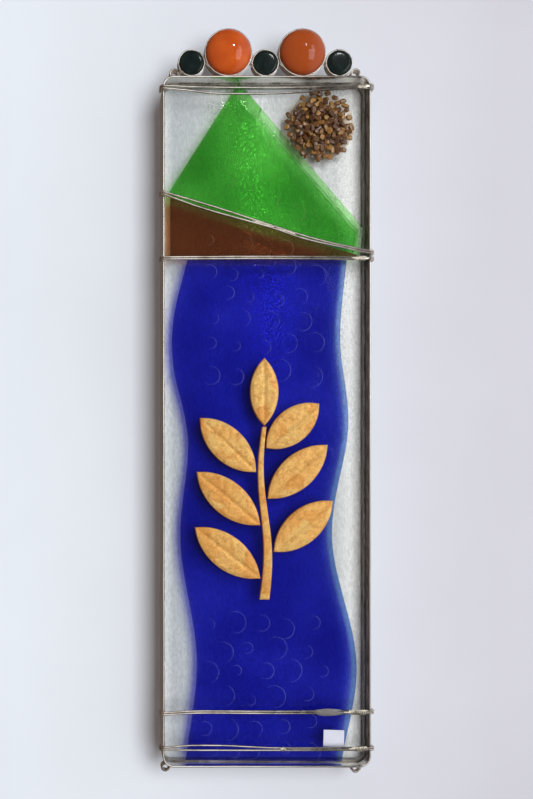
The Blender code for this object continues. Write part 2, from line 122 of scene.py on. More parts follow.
# Solder on the wire pairs: pair, first and last place along the run as shares of it, half height, finish
SOLDER_RUNS = (
    ("lower", 0.725, 0.865, 0.00140, "dull_solder"),
    ("lower", 0.870, 0.995, 0.00105, "solder"),
    ("base", 0.890, 0.995, 0.00095, "solder"),
    ("base", 0.560, 0.590, 0.00085, "solder"),
    ("slope", 0.430, 0.530, 0.00055, "solder"),
    ("slope", 0.540, 0.640, 0.00050, "solder"),
    ("level", 0.900, 0.995, 0.00095, "solder"),
    ("top", 0.930, 0.995, 0.00100, "solder"),
)
END_BEAD = (0.0005, 0.0004, 0.0005)

# Crown
TURN_STEPS = 96
BEZEL_WALL = 0.0004
BEZEL_LIP = 0.00016
BEZEL_ROUND = 0.0002
STONE_GRIP = 0.00012
DOME_RISE = 0.002
DOME_RINGS = 20
FLAT_SHOULDER = 0.30
TOUCH_BEAD = (0.0006, 0.0008, 0.0008)
TOUCH_DROPS = (0.0013, -0.0012)
FOOT_BEAD = (0.0014, 0.0020, 0.0005)
BEAD_SCATTER = 0.0003

# Seeds, in layers of (count, share of the heap's reach), and the glue that they lie in
SEED_LAYERS = ((108, 1.0), (58, 0.74), (24, 0.48))
SEED_TRIES = 9
SEED_LENGTH = (0.0021, 0.0031)
SEED_WIDTH = (0.0015, 0.0020)
SEED_DEPTH = (0.0011, 0.0015)
SEED_FOOT = 0.0007
LAYER_RISE = 0.0010
GLUE_RINGS = ((0.96, 0.0), (0.88, 0.00015), (0.7, 0.0004), (0.0, 0.0006))
GLUE_WAVE = 0.0009

LABEL_STEP = 0.0008
LABEL_CURL = 0.00018

# Camera and stage
CAMERA_PLACE = Vector((-0.0662, -0.3600, -0.02896))
CAMERA_LENS = 39.11
CAMERA_SHIFT = (0.2097, 0.1195)
FLOOR_Z = -0.45
WALL_Y = 0.0006
STAGE_HALF = 3.0

# Groups of pieces for the lights, by how their names start
METAL = ("tray_rim", "strand_", "set_bezel_", "solder_", "wire_nail_loop_")
FOIL = ("foil_backing",)
# Lights: name, place, width, height, power, the pieces that are lit, and whether these show the light as a
# reflection or are just lit. "case" is all but the stage, "front" is case and wall, and "all" is everything
LIGHTS = (
    ("window", (0.315, -1.10, 0.06), 0.60, 1.00, 13.4, "front", False),
    ("floor_light", (0.0, -0.20, 2.60), 3.0, 3.0, 60.0, ("floor",), False),
    ("window_shine", (0.60, -1.00, 0.30), 0.34, 0.55, 1.4, "all", True),
    ("upper_shine", (0.69, -1.00, 0.70), 0.16, 0.30, 0.30, "all", True),
    ("middle_glint", (0.20, -1.00, 0.34), 0.02, 0.60, 0.68, FOIL, True),
    ("right_glint", (0.32, -1.00, 0.40), 0.02, 0.36, 0.10, FOIL, True),
    ("foil_fill", (0.20, -1.00, 0.05), 0.60, 0.80, 2.4, FOIL, False),
    ("metal_shine", (0.05, -1.00, 0.10), 0.35, 1.20, 1.8, METAL, True),
    ("spark", (0.31, -1.00, 0.78), 0.045, 0.045, 1.0, ("set_stone_",), True),
    ("rear_light", (-1.60, 2.60, 1.80), 1.60, 1.60, 60.0, "case", False),
)

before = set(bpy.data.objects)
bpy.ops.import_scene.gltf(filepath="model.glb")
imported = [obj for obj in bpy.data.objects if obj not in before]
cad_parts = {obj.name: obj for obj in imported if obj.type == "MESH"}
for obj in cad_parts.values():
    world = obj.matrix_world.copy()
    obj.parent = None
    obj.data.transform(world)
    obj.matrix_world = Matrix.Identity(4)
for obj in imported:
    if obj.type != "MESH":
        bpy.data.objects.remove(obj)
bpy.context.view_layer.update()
dice = random.Random(SEED)
tree = None


# ---------------------------------------------------------------- shader nodes


def open_tree(owner):
    """Empties the node tree of a material or world and makes it the one that new nodes go into."""
    global tree
    owner.use_nodes = True
    tree = owner.node_tree
    tree.nodes.clear()


def node(kind, inputs=None, **settings):
    """Adds a shader node. An input's value is a number, a colour or another node's socket."""
    made = tree.nodes.new("ShaderNode" + kind)
    for key, value in settings.items():
        setattr(made, key, value)
    for key, value in (inputs or {}).items():
        socket = made.inputs[key]
        if isinstance(value, bpy.types.NodeSocket):
            tree.links.new(value, socket)
        elif isinstance(value, tuple) and socket.type == "RGBA":
            socket.default_value = (*value, 1.0)
        else:
            socket.default_value = value
    return made


def place_of(stretch=(1.0, 1.0, 1.0), turn=0.0):
    """The shaded point in the frame's axes, stretched and turned about Y for a pattern with a direction."""
    point = node("TexCoord").outputs["Object"]
    inputs = {"Vector": point, "Scale": stretch, "Rotation": (0.0, turn, 0.0)}
    return node("Mapping", inputs).outputs["Vector"]


def axis(letter, vector=None):
    """One axis of a vector, or of the shaded point."""
    return node("SeparateXYZ", {"Vector": vector or place_of()}).outputs[letter]


def geometry(name):
    return node("NewGeometry").outputs[name]


def grain(size, detail=3.0, roughness=0.55, warp=0.0, point=None):
    """Noise from 0 to 1 whose features are about size metres wide."""
    inputs = {"Vector": point or place_of(), "Scale": 1.0 / size, "Detail": detail, "Roughness": roughness,
              "Distortion": warp}
    return node("TexNoise", inputs).outputs["Fac"]


def cells(size, output="Distance", point=None):
    return node("TexVoronoi", {"Vector": point or place_of(), "Scale": 1.0 / size}).outputs[output]


def warped_place(size, amount):
    """The shaded point pushed about by noise, so that a cell pattern loses its regular look."""
    point = place_of()
    push = node("TexNoise", {"Vector": point, "Scale": 1.0 / size, "Detail": 3.0}).outputs["Color"]
    scaled = node("VectorMath", {0: push, 1: (amount * size,) * 3}, operation="MULTIPLY").outputs["Vector"]
    return node("VectorMath", {0: point, 1: scaled}, operation="ADD").outputs["Vector"]


def ramp(factor, *stops):
    """A colour ramp: each stop is (position, colour), where a colour may be one grey number."""
    made = node("ValToRGB", {"Fac": factor})
    elements = made.color_ramp.elements
    while len(elements) < len(stops):
        elements.new(0.5)
    for element, (position, colour) in zip(elements, stops):
        element.position = position
        element.color = (*colour, 1.0) if isinstance(colour, tuple) else (colour, colour, colour, 1.0)
    return made.outputs["Color"]


def spread(value, low, high, start=0.0, end=1.0):
    """The value stretched so that low to high becomes start to end, and held there beyond both."""
    inputs = {"Value": value, "From Min": low, "From Max": high, "To Min": start, "To Max": end}
    return node("MapRange", inputs).outputs["Result"]


def calculate(operation, a, b=0.0):
    return node("Math", {0: a, 1: b}, operation=operation).outputs["Value"]


def times(a, b):
    return calculate("MULTIPLY", a, b)


def add(a, b):
    return calculate("ADD", a, b)


def minus(a, b):
    return calculate("SUBTRACT", a, b)


def gap(a, b):
    """How far apart two values are."""
    return calculate("ABSOLUTE", minus(a, b))


def blend(factor, a, b, how="MIX"):
    return node("Mix", {0: factor, 6: a, 7: b}, data_type="RGBA", blend_type=how).outputs[2]


def bump(height, distance, strength=1.0, normal=None):
    inputs = {"Height": height, "Distance": distance, "Strength": strength}
    if normal:
        inputs["Normal"] = normal
    return node("Bump", inputs).outputs["Normal"]


def principled(**inputs):
    named = {key.replace("_", " "): value for key, value in inputs.items()}
    return node("BsdfPrincipled", named).outputs["BSDF"]


def mixed_shader(factor, one, other):
    return node("MixShader", {"Fac": factor, 1: one, 2: other}).outputs["Shader"]


def material(name, recipe, *values):
    """A material whose surface is the shader socket that recipe(*values) returns."""
    made = bpy.data.materials.new(name)
    open_tree(made)
    node("OutputMaterial", {"Surface": recipe(*values)})
    return made


# ---------------------------------------------------------------- materials


def worn_metal(light, dark, polish, tarnish=0.6, relief=1.0, draw=(1.0, 1.0, 0.06)):
    """Tinned metal: long draw marks, faint clouds of tarnish and small pits."""
    streaks = grain(0.0006, 4.0, point=place_of(draw))
    clouds = grain(0.0080, 4.0, 0.55, 0.5)
    pits = ramp(cells(0.0014), (0.05, 0.0), (0.16, 1.0))
    colour = blend(ramp(clouds, (0.44, 0.0), (0.72, tarnish)), light, dark)
    rough = ramp(streaks, (0.3, polish), (0.75, polish + 0.12))
    normal = bump(streaks, 0.00004, 0.30 * relief)
    normal = bump(clouds, 0.00030, 0.25 * relief, normal)
    normal = bump(pits, 0.00003, 0.25 * relief, normal)
    return principled(Base_Color=colour, Metallic=1.0, Roughness=rough, Normal=normal)


def rim_metal():
    """The tray's sheet: bright outside and on its edge, with painted shade that makes its upright inner
    walls dark and dull.
    """
    streaks = grain(0.0005, 4.0, point=place_of((1.0, 1.0, 0.04)))
    clouds = grain(0.0100, 3.0, 0.5)
    colour = blend(ramp(clouds, (0.42, 0.0), (0.72, 0.35)), (0.84, 0.80, 0.75), (0.60, 0.55, 0.50))
    outward = times(axis("X", geometry("True Normal")), calculate("SIGN", axis("X")))
    # Painted shade: the upright inner walls, which face the middle across X, get a dark colour and lose
    # their metal sheen.
    painted_inner_wall_shade = ramp(times(outward, -1.0), (0.55, 0.0), (0.90, 1.0))
    painted_inner_wall_shade = times(painted_inner_wall_shade, ramp(grain(0.0030, 4.0, 0.6), (0.25, 0.85), (0.6, 1.0)))
    colour = blend(painted_inner_wall_shade, colour, (0.13, 0.115, 0.105))
    rough = ramp(streaks, (0.3, 0.14), (0.75, 0.24))
    normal = bump(clouds, 0.00015, 0.2, bump(streaks, 0.00003, 0.15))
    unshaded_share = minus(1.0, painted_inner_wall_shade)
    return principled(Base_Color=colour, Metallic=unshaded_share, Roughness=rough, Specular_IOR_Level=times(unshaded_share, 0.5),
                      Normal=normal)


def solder_metal(low, middle, high, dullness):
    """Solder: rounder and duller than the wire, with bright frosty spots."""
    lumps = grain(0.0012, 3.0, 0.5, point=place_of((0.35, 1.0, 1.0)))
    colour = ramp(lumps, (0.30, low), (0.52, middle), (0.72, high))
    rough = ramp(grain(0.0005, 2.0), (0.3, dullness), (0.7, dullness + 0.25))
    return principled(Base_Color=colour, Metallic=0.9, Roughness=rough, Normal=bump(lumps, 0.00015, 0.5))


def foil_skin():
    """Silvered backing: a pale ground with fine slanting ripples and painted light across it, and shiny
    flakes only in painted highlight bands.
    """
    ripple = grain(0.00085, 4.0, 0.62, 0.3, place_of((1.0, 1.0, 0.45), FOIL_SLANT))
    tone = blend(grain(0.014, 3.0, 0.5), (0.84, 0.85, 0.85), (0.91, 0.91, 0.90))
    tone = blend(ramp(ripple, (0.34, 0.0), (0.62, 1.0)), (0.68, 0.69, 0.69), tone)
    # Painted light and shade across the backing: bright by the left rim, dim and bluish just inside it, a
    # little brighter in the middle, dimmer to its right and bright again by the right rim.
    lit = ramp(spread(axis("X"), -0.040, 0.040), (0.0, 0.85), (0.05, (0.54, 0.57, 0.60)),
               (0.50, (0.67, 0.69, 0.705)), (0.72, (0.60, 0.615, 0.62)), (0.87, (0.60, 0.615, 0.62)),
               (0.95, 0.92))
    tone = blend(1.0, tone, lit, "MULTIPLY")
    dull = principled(Base_Color=tone, Metallic=0.0, Roughness=0.55, Normal=bump(ripple, 0.00030, 0.42))
    grainy = bump(grain(0.00042, 2.0, 0.6), 0.00030, 0.05)
    bright = principled(Base_Color=(0.95, 0.95, 0.94), Metallic=1.0, Roughness=0.17, Normal=grainy)
    flakes = ramp(grain(0.00065, 3.0, 0.6), (0.48, 0.0), (0.60, 0.65))
    # Shiny flakes only inside the painted highlight bands.
    return mixed_shader(add(times(flakes, painted_glint_band()), 0.03), dull, bright)


def painted_glint_band():
    """Painted highlight bands from 0 to 1, where the backing's flakes are made shiny so that the glint lamps
    sparkle on them: high up, a band that leans left and one on the right.
    """
    x, z = axis("X"), axis("Z")
    lean = times(calculate("MAXIMUM", minus(z, 0.050)), 0.19)
    middle = spread(calculate("ABSOLUTE", add(minus(x, 0.004), lean)), 0.004, 0.017, 1.0, 0.0)
    right = spread(gap(x, 0.030), 0.002, 0.009, 0.6, 0.0)
    return times(spread(z, 0.010, 0.034), calculate("MAXIMUM", middle, right))


def glass_skin(tint, body, haze, ripple_size, ripple_depth, polish):
    """Glass whose faces each tint what passes. Its body scatters a little light, its outside is glossy."""
    normal = bump(grain(ripple_size, 4.0, 0.6, 0.2), ripple_depth, 0.6)
    clear = node("BsdfTransparent", {"Color": tint}).outputs["BSDF"]
    inside = node("BsdfDiffuse", {"Color": body, "Normal": normal}).outputs["BSDF"]
    gloss = {"Color": (1.0, 1.0, 1.0), "Roughness": polish, "Normal": normal}
    glint = node("BsdfGlossy", gloss).outputs["BSDF"]
    outside = minus(1.0, geometry("Backfacing"))
    mirror = times(node("Fresnel", {"IOR": 1.5, "Normal": normal}).outputs["Fac"], outside)
    return mixed_shader(mirror, mixed_shader(times(haze, outside), clear, inside), glint)


def clear_glass():
    """The pane: nearly clear, with slanting milky wisps that grow towards its right side."""
    slant = place_of((1.0, 1.0, 0.5), FOIL_SLANT)
    wisps = ramp(grain(0.0012, 4.0, 0.65, 0.4, slant), (0.48, 0.0), (0.74, 0.16))
    wisps = times(wisps, add(spread(axis("X"), -0.01, 0.030), 0.25))
    return glass_skin((0.985, 0.990, 0.990), (0.90, 0.91, 0.91), wisps, 0.0016, 0.00022, 0.10)


def fibred_glass(dark, light, body, haze_low, haze_high, edge, border):
    """Fused coloured glass with fine lighter fibres and slow changes of depth.

    It is lighter and less hazy along its strip, which border=(start, end) bounds, and has a groove beside
    the strip.
    """
    fibres = grain(0.0012, 5.0, 0.68, 0.8, place_of((1.0, 1.0, 0.55), FIBRE_SLANT))
    tint = blend(ramp(grain(0.022, 3.0, 0.5), (0.38, 0.0), (0.66, 1.0)), dark, light)
    tint = blend(ramp(fibres, (0.50, 0.0), (0.78, 0.35)), tint, light)
    strip = node("Attribute", attribute_name="strip").outputs["Fac"]
    start, end = border
    # Lighter tint and less haze along the strip.
    strip_share = ramp(strip, (start, 0.0), (end, 1.0))
    tint = blend(strip_share, tint, edge)
    groove = ramp(strip, (start - 0.08, 0.0), (start, 0.55), (start + 0.07, 0.0))
    tint = blend(groove, tint, tuple(0.6 * c for c in dark))
    haze = times(ramp(fibres, (0.45, haze_low), (0.72, haze_high)), minus(1.0, strip_share))
    return glass_skin(tint, body, haze, 0.0022, 0.00020, 0.07)


def blister_skin(colour):
    """The bright skin of a blister's lit edge, fading in and out along the arc."""
    shade = ramp(grain(0.0016, 2.0), (0.35, tuple(0.55 * c for c in colour)), (0.65, colour))
    return principled(Base_Color=shade, Roughness=0.25, Coat_Weight=0.5)


def gilt_skin():
    """Gold leaf laid by hand: overlapping warm patches, fine creases and worn orange-brown spots."""
    patches = cells(0.0062, "Color", warped_place(0.005, 0.8))
    patch = node("SeparateColor", {"Color": patches}).outputs[0]
    tone = ramp(patch, (0.10, (0.93, 0.455, 0.115)), (0.55, (1.0, 0.555, 0.16)), (0.9, (1.0, 0.635, 0.205)))
    worn = ramp(grain(0.0030, 6.0, 0.72), (0.50, 0.0), (0.68, 0.80))
    colour = blend(worn, tone, (0.66, 0.27, 0.055))
    crease = gap(grain(0.0021, 5.0, 0.6, 1.6, warped_place(0.003, 0.9)), 0.5)
    crease = ramp(crease, (0.0, 1.0), (0.030, 0.0))
    colour = blend(times(crease, 0.60), colour, (0.46, 0.18, 0.040))
    normal = bump(grain(0.0011, 6.0, 0.66, 0.8), 0.00022, 0.8)
    normal = bump(crease, 0.00006, 0.5, normal)
    facing = calculate("ABSOLUTE", axis("Y", geometry("Normal")))
    colour = blend(ramp(facing, (0.25, 0.75), (0.80, 0.0)), colour, (0.60, 0.24, 0.05))
    rough = ramp(grain(0.0015, 3.0), (0.3, 0.32), (0.7, 0.50))
    return principled(Base_Color=colour, Metallic=0.45, Roughness=rough, Normal=normal)


def edge_share(blend_value, start, end, most):
    """Grows towards a rounded piece's outline, from 0 to most."""
    facing = node("LayerWeight", {"Blend": blend_value}).outputs["Facing"]
    return ramp(facing, (start, 0.0), (end, most))


def seed_skin():
    """Glossy amber seeds, each with its own shade, darker along the edges."""
    shade = ramp(geometry("Random Per Island"), (0.0, (0.050, 0.019, 0.009)), (0.50, (0.15, 0.063, 0.017)),
                 (1.0, (0.36, 0.185, 0.040)))
    mottled = blend(ramp(grain(0.0007, 3.0), (0.4, 0.0), (0.7, 0.6)), shade, (0.10, 0.040, 0.014))
    colour = blend(edge_share(0.42, 0.22, 0.66, 0.92), mottled, (0.030, 0.012, 0.006))
    return principled(Base_Color=colour, Roughness=0.16, Coat_Weight=1.0, Coat_Roughness=0.06,
                      Subsurface_Weight=0.15, Subsurface_Scale=0.001, Subsurface_Radius=(1.0, 0.4, 0.1),
                      Normal=bump(grain(0.0006, 3.0), 0.00006, 0.6))


def carnelian_skin():
    """Polished orange stone with faint clouds, browner in the right-hand one, and painted shade round its
    girdle for the bezel's shadow.
    """
    warm = ramp(grain(0.0090, 3.0, 0.5, 0.4), (0.30, (0.47, 0.068, 0.009)), (0.55, (0.54, 0.092, 0.012)),
                (0.75, (0.60, 0.120, 0.017)))
    colour = blend(spread(axis("X"), -0.002, 0.006, 0.0, 0.75), warm, (0.31, 0.062, 0.013))
    # Painted shade: dark round the girdle, where the bezel shades the stone.
    colour = blend(edge_share(0.35, 0.62, 0.95, 0.90), colour, (0.10, 0.012, 0.006))
    return principled(Base_Color=colour, Roughness=0.07, Specular_IOR_Level=0.42, Subsurface_Weight=0.35,
                      Subsurface_Scale=0.002, Subsurface_Radius=(1.0, 0.25, 0.06))


def dark_stone_skin():
    """Nearly black green stone with faint green clouds and a few pale flecks."""
    cloud = ramp(grain(0.0035, 5.0, 0.6), (0.35, (0.006, 0.009, 0.009)), (0.75, (0.013, 0.024, 0.021)))
    colour = blend(ramp(cells(0.0021), (0.03, 0.30), (0.06, 0.0)), cloud, (0.16, 0.18, 0.17))
    return principled(Base_Color=colour, Roughness=0.12, Specular_IOR_Level=0.22,
                      Normal=bump(grain(0.004), 0.0001, 0.2))


def paper_skin(light, dark, fibre):
    """Paper or parchment: faint stains and upright fibres."""
    strands = grain(fibre, 5.0, 0.7, 0.6, place_of((1.0, 1.0, 0.3)))
    colour = blend(ramp(grain(0.006, 3.0), (0.35, 0.0), (0.75, 1.0)), light, dark)
    colour = blend(ramp(strands, (0.5, 0.0), (0.8, 0.25)), colour, dark)
    return principled(Base_Color=colour, Roughness=0.82, Normal=bump(strands, 0.00005, 0.6))


def wood_skin():
    rings = grain(0.0012, 4.0, 0.6, 1.0, place_of((1.0, 1.0, 0.05)))
    colour = ramp(rings, (0.30, (0.30, 0.17, 0.08)), (0.55, (0.50, 0.32, 0.17)), (0.75, (0.60, 0.42, 0.25)))
    return principled(Base_Color=colour, Roughness=0.7, Normal=bump(rings, 0.0001, 0.6))


def putty_skin():
    """Dark brown-grey cement with pale streaks and grit."""
    grit = grain(0.0006, 4.0, 0.7)
    streak = grain(0.0010, 3.0, 0.6, 0.4, place_of((0.12, 1.6, 0.12)))
    colour = ramp(add(times(grit, 0.4), times(streak, 0.6)), (0.40, (0.085, 0.075, 0.065)),
                  (0.52, (0.26, 0.24, 0.21)), (0.66, (0.60, 0.57, 0.52)))
    return principled(Base_Color=colour, Roughness=0.5, Normal=bump(grit, 0.0002, 0.8))


def glue_skin():
    """Clear glue, stained brown by the seeds that lie in it."""
    stain = ramp(grain(0.0040, 3.0, 0.6), (0.35, (0.86, 0.76, 0.66)), (0.65, (0.95, 0.91, 0.86)))
    haze = ramp(grain(0.0015, 3.0), (0.4, 0.03), (0.8, 0.14))
    return glass_skin(stain, (0.62, 0.50, 0.40), haze, 0.0015, 0.0003, 0.05)


def wall_skin():
    """Pale wall with painted light: brighter and bluer on the left, darker on the right. It is seen from its
    front only, so that the rear of the case can be looked at.
    """
    # Painted light across the wall: brighter and bluer to the left of the case, darker to its right.
    pale = blend(spread(axis("X"), -0.10, 0.10), (0.81, 0.873, 0.946), (0.62, 0.625, 0.692))
    colour = blend(1.0, pale, ramp(grain(0.12, 3.0), (0.35, 0.95), (0.65, 1.0)), "MULTIPLY")
    paint = principled(Base_Color=colour, Roughness=0.9, Normal=bump(grain(0.0012), 0.0001, 0.15))
    return mixed_shader(geometry("Backfacing"), paint, node("BsdfTransparent").outputs["BSDF"])


def floor_skin():
    colour = ramp(grain(0.05, 4.0), (0.35, (0.70, 0.70, 0.73)), (0.65, (0.76, 0.76, 0.79)))
    return principled(Base_Color=colour, Roughness=0.8, Normal=bump(grain(0.002), 0.0002, 0.2))


DRAWN_ACROSS = (0.06, 1.0, 1.0)
LOOKS = {
    "tinned_sheet": (worn_metal, (0.76, 0.73, 0.69), (0.50, 0.46, 0.42), 0.20),
    "cover_sheet": (worn_metal, (0.62, 0.63, 0.64), (0.50, 0.50, 0.50), 0.34, 0.3, 1.0, DRAWN_ACROSS),
    "tinned_wire": (worn_metal, (0.78, 0.73, 0.67), (0.36, 0.31, 0.27), 0.12, 0.9, 0.3, DRAWN_ACROSS),
    "bezel_silver": (worn_metal, (0.93, 0.90, 0.84), (0.62, 0.56, 0.50), 0.13, 0.4, 0.25),
    "rim_sheet": (rim_metal,),
    "solder": (solder_metal, (0.46, 0.42, 0.35), (0.74, 0.68, 0.56), (0.95, 0.90, 0.76), 0.16),
    "dull_solder": (solder_metal, (0.44, 0.42, 0.41), (0.54, 0.52, 0.52), (0.63, 0.61, 0.61), 0.42),
    "silver_foil": (foil_skin,),
    "clear_glass": (clear_glass,),
    "green_glass": (fibred_glass, (0.40, 0.745, 0.34), (0.55, 0.875, 0.475), (0.06, 0.34, 0.05),
                    0.10, 0.24, (0.68, 0.94, 0.62), (0.14, 0.26)),
    "brown_glass": (fibred_glass, (0.57, 0.395, 0.295), (0.65, 0.45, 0.335), (0.14, 0.040, 0.014),
                    0.20, 0.30, (1.0, 0.87, 0.72), (0.38, 0.44)),
    "blue_glass": (fibred_glass, (0.29, 0.31, 0.80), (0.37, 0.395, 0.89), (0.010, 0.012, 0.34),
                   0.10, 0.20, (0.39, 0.535, 0.82), (0.20, 0.60)),
    "blue_blisters": (blister_skin, (0.30, 0.34, 0.78)),
    "warm_blisters": (blister_skin, (0.32, 0.35, 0.18)),
    "gold_leaf": (gilt_skin,),
    "seeds": (seed_skin,),
    "label_paper": (paper_skin, (0.66, 0.69, 0.79), (0.60, 0.62, 0.71), 0.0004),
    "carnelian": (carnelian_skin,),
    "dark_stone": (dark_stone_skin,),
    "parchment": (paper_skin, (0.80, 0.70, 0.50), (0.62, 0.48, 0.30), 0.0009),
    "spacer_wood": (wood_skin,),
    "joint_putty": (putty_skin,),
    "clear_glue": (glue_skin,),
    "pale_wall": (wall_skin,),
    "pale_floor": (floor_skin,),
}
finish = {name: material(name, *look) for name, look in LOOKS.items()}


# ---------------------------------------------------------------- mesh tools


def add_mesh(name, bm, look):
    mesh = bpy.data.meshes.new(name)
    bm.to_mesh(mesh)
    bm.free()
    mesh.materials.append(finish[look])
    made = bpy.data.objects.new(name, mesh)
    bpy.context.scene.collection.objects.link(made)
    return made


def piece(name, bm, look, replaced=(), sharp=40):
    """Turns a bmesh into a piece of the case that stands for the nodes it replaces.
    """
    bmesh.ops.recalc_face_normals(bm, faces=bm.faces)
    made = add_mesh(name, bm, look)
    made.data.shade_smooth()
    made.data.set_sharp_from_angle(angle=math.radians(sharp))
    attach(made, "case")
    if replaced:
        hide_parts(*replaced)
    return made


def nodes_like(*starts):
    return sorted(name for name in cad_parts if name.startswith(starts))


def wander(x, y, z, size):
    """Smooth noise from -1 to 1 at a point, with features about size metres wide."""
    return noise.noise(Vector((x, y, z)) / size)


def closed_pairs(ring):
    """Each item of a ring with the next, and the last with the first."""
    return zip(ring, ring[1:] + ring[:1])


def join_rings(bm, rings):
    """Faces between each ring of points and the next. A ring may be a single point."""
    for one, other in zip(rings, rings[1:]):
        count = max(len(one), len(other))
        for i in range(count):
            j = (i + 1) % count
            corners = (one[i % len(one)], one[j % len(one)], other[j % len(other)], other[i % len(other)])
            bm.faces.new(list(dict.fromkeys(corners)))


def front_rim(name):
    """The (x, z) corners of a prism node's front face, counter-clockwise as seen from the front."""
    bm = bmesh.new()
    bm.from_mesh(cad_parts[name].data)
    bmesh.ops.remove_doubles(bm, verts=bm.verts, dist=MERGE)
    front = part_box(name)[0].y + ON_FACE
    flat = {face for face in bm.faces if all(v.co.y < front for v in face.verts)}
    rim = [edge for edge in bm.edges if len(flat.intersection(edge.link_faces)) == 1]
    beside = {}
    for edge in rim:
        for one, other in (edge.verts, reversed(edge.verts)):
            beside.setdefault(one, []).append(other)
    chain = list(rim[0].verts)
    while len(chain) < len(rim):
        chain.append(next(v for v in beside[chain[-1]] if v is not chain[-2]))
    points = [Vector((v.co.x, v.co.z)) for v in chain]
    bm.free()
    area = sum(a.cross(b) for a, b in closed_pairs(points))
    return points if area > 0 else points[::-1]


def between(before, start, end, after, t):
    """A point on the Catmull-Rom curve from start to end."""
    return 0.5 * (2 * start + (end - before) * t + (2 * before - 5 * start + 4 * end - after) * t ** 2
                  + (3 * start - before - 3 * end + after) * t ** 3)


def filled(before, start, end, after, step):
    """Points from start up to end, end left out, on the curve between them."""
    pieces = max(1, math.ceil((end - start).length / step))
    return [between(before, start, end, after, k / pieces) for k in range(pieces)]


def outline_of(name, step):
    """A prism node's front outline with more points: corners stay sharp and slow bends become curves."""
    corners = front_rim(name)
    count = len(corners)

    def turn(i):
        back = corners[i] - corners[i - 1]
        on = corners[(i + 1) % count] - corners[i]
        return abs(back.angle_signed(on)) if back.length and on.length else 0.0

    finer = []
    for i, start in enumerate(corners):
        end = corners[(i + 1) % count]
        before = 2 * start - end if turn(i) > SHARP_TURN else corners[i - 1]
        after = 2 * end - start if turn((i + 1) % count) > SHARP_TURN else corners[(i + 2) % count]
        finer += filled(before, start, end, after, step)
    return finer


def inset(outline, distance):
    """The outline moved inwards by a distance."""
    moved = []
    for before, here, after in zip(outline[-1:] + outline[:-1], outline, outline[1:] + outline[:1]):
        back, on = (here - before).normalized(), (after - here).normalized()
        left = Vector((-back.y - on.y, back.x + on.x))
        if left.length < MERGE:
            moved.append(here.copy())
            continue
        left.normalize()
        reach = distance / max(0.5, left.dot(Vector((-back.y, back.x))))
        moved.append(here + left * reach)
    return moved


def inside_points(outline, spacing):
    """Staggered grid points inside an outline and clear of it."""
    low_x, low_z = min(p.x for p in outline), min(p.y for p in outline)
    rise = spacing * ROW_RISE
    found = []
    for row in range(int((max(p.y for p in outline) - low_z) / rise) + 1):
        z = low_z + row * rise
        crossings = sorted(a.x + (z - a.y) * (b.x - a.x) / (b.y - a.y)
                           for a, b in closed_pairs(outline) if (a.y > z) != (b.y > z))
        for left, right in zip(crossings[::2], crossings[1::2]):
            x = low_x + spacing * (0.5 * (row % 2) + math.ceil((left - low_x) / spacing))
            while x < right - 0.6 * spacing:
                if x > left + 0.6 * spacing:
                    found.append(Vector((x, z)))
                x += spacing
    return [p for p in found if all((p - a).length > 0.55 * spacing for a in outline)]


def plate(name, outline, edge, spacing, relief):
    """A closed plate in a node's place, with a rounded front edge.

    relief(x, z) is how far its front stands proud. Front and rear share one net of triangles, so that a
    value kept at its points shows no seams.
    """
    low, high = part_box(name)
    bm = bmesh.new()
    rows = [(0.0, high.y)]
    for i in range(EDGE_STEPS + 1):
        angle = QUARTER * i / EDGE_STEPS
        rows.append((edge * (1 - math.cos(angle)), low.y + edge * (1 - math.sin(angle))))
    rings = [[bm.verts.new((p.x, y, p.y)) for p in inset(outline, reach)] for reach, y in rows]
    join_rings(bm, rings)
    border = inset(outline, edge)
    sides = list(closed_pairs(list(range(len(border)))))
    net = delaunay_2d_cdt(border + inside_points(border, spacing), sides, [], 1, MERGE)
    points, _, faces, sources, _, _ = net
    near, far = [], []
    for point, source in zip(points, sources):
        own = [i for i in source if i < len(border)]
        if own:
            near.append(rings[-1][own[0]])
            far.append(rings[0][own[0]])
        else:
            near.append(bm.verts.new((point.x, low.y - relief(point.x, point.y), point.y)))
            far.append(bm.verts.new((point.x, high.y, point.y)))
    for face in faces:
        for corners in (near, far):
            if len({corners[i] for i in face}) == len(face):
                bm.faces.new([corners[i] for i in face])
    return bm


def along(path, step):
    """The path with more points, on a smooth curve through its own."""
    ends = [2 * path[0] - path[1]] + list(path) + [2 * path[-1] - path[-2]]
    finer = []
    for stretch in zip(ends, ends[1:], ends[2:], ends[3:]):
        finer += filled(*stretch, step)
    return finer + [path[-1]]


def add_tube(bm, path, radius, sides=WIRE_SIDES, lumps=0.0, lump_size=0.003, taper=False):
    """A round rod along a path, with domed ends.

    lumps makes its thickness vary, and taper thins both its ends.
    """
    directions = [(b - a).normalized() for a, b in zip(path, path[1:])]
    directions.append(directions[-1])
    side = directions[0].orthogonal().normalized()
    stations = []
    for i, (point, direction) in enumerate(zip(path, directions)):
        if i:
            side = (side - direction * side.dot(direction)).normalized()
        girth = radius * (1 + lumps * wander(*point, lump_size))
        if taper:
            girth *= 0.25 + 0.75 * math.sin(math.pi * i / (len(path) - 1))
        stations.append((point, direction, side.copy(), girth))
    caps = [QUARTER * k / 3 for k in (1, 2)]
    for outward, angles in ((-1, caps), (1, caps)):
        point, direction, side, girth = stations[-1 if outward > 0 else 0]
        domed = [(point + outward * direction * girth * math.sin(a), direction, side, girth * math.cos(a))
                 for a in angles]
        domed.append((point + outward * direction * girth, direction, side, 0.0))
        stations = stations + domed if outward > 0 else domed[::-1] + stations
    rings = []
    for point, direction, side, girth in stations:
        other = direction.cross(side)
        angles = [2 * math.pi * k / sides for k in range(sides)] if girth else [0.0]
        ways = [math.cos(angle) * side + math.sin(angle) * other for angle in angles]
        rings.append([bm.verts.new(point + girth * way) for way in ways])
    join_rings(bm, rings)


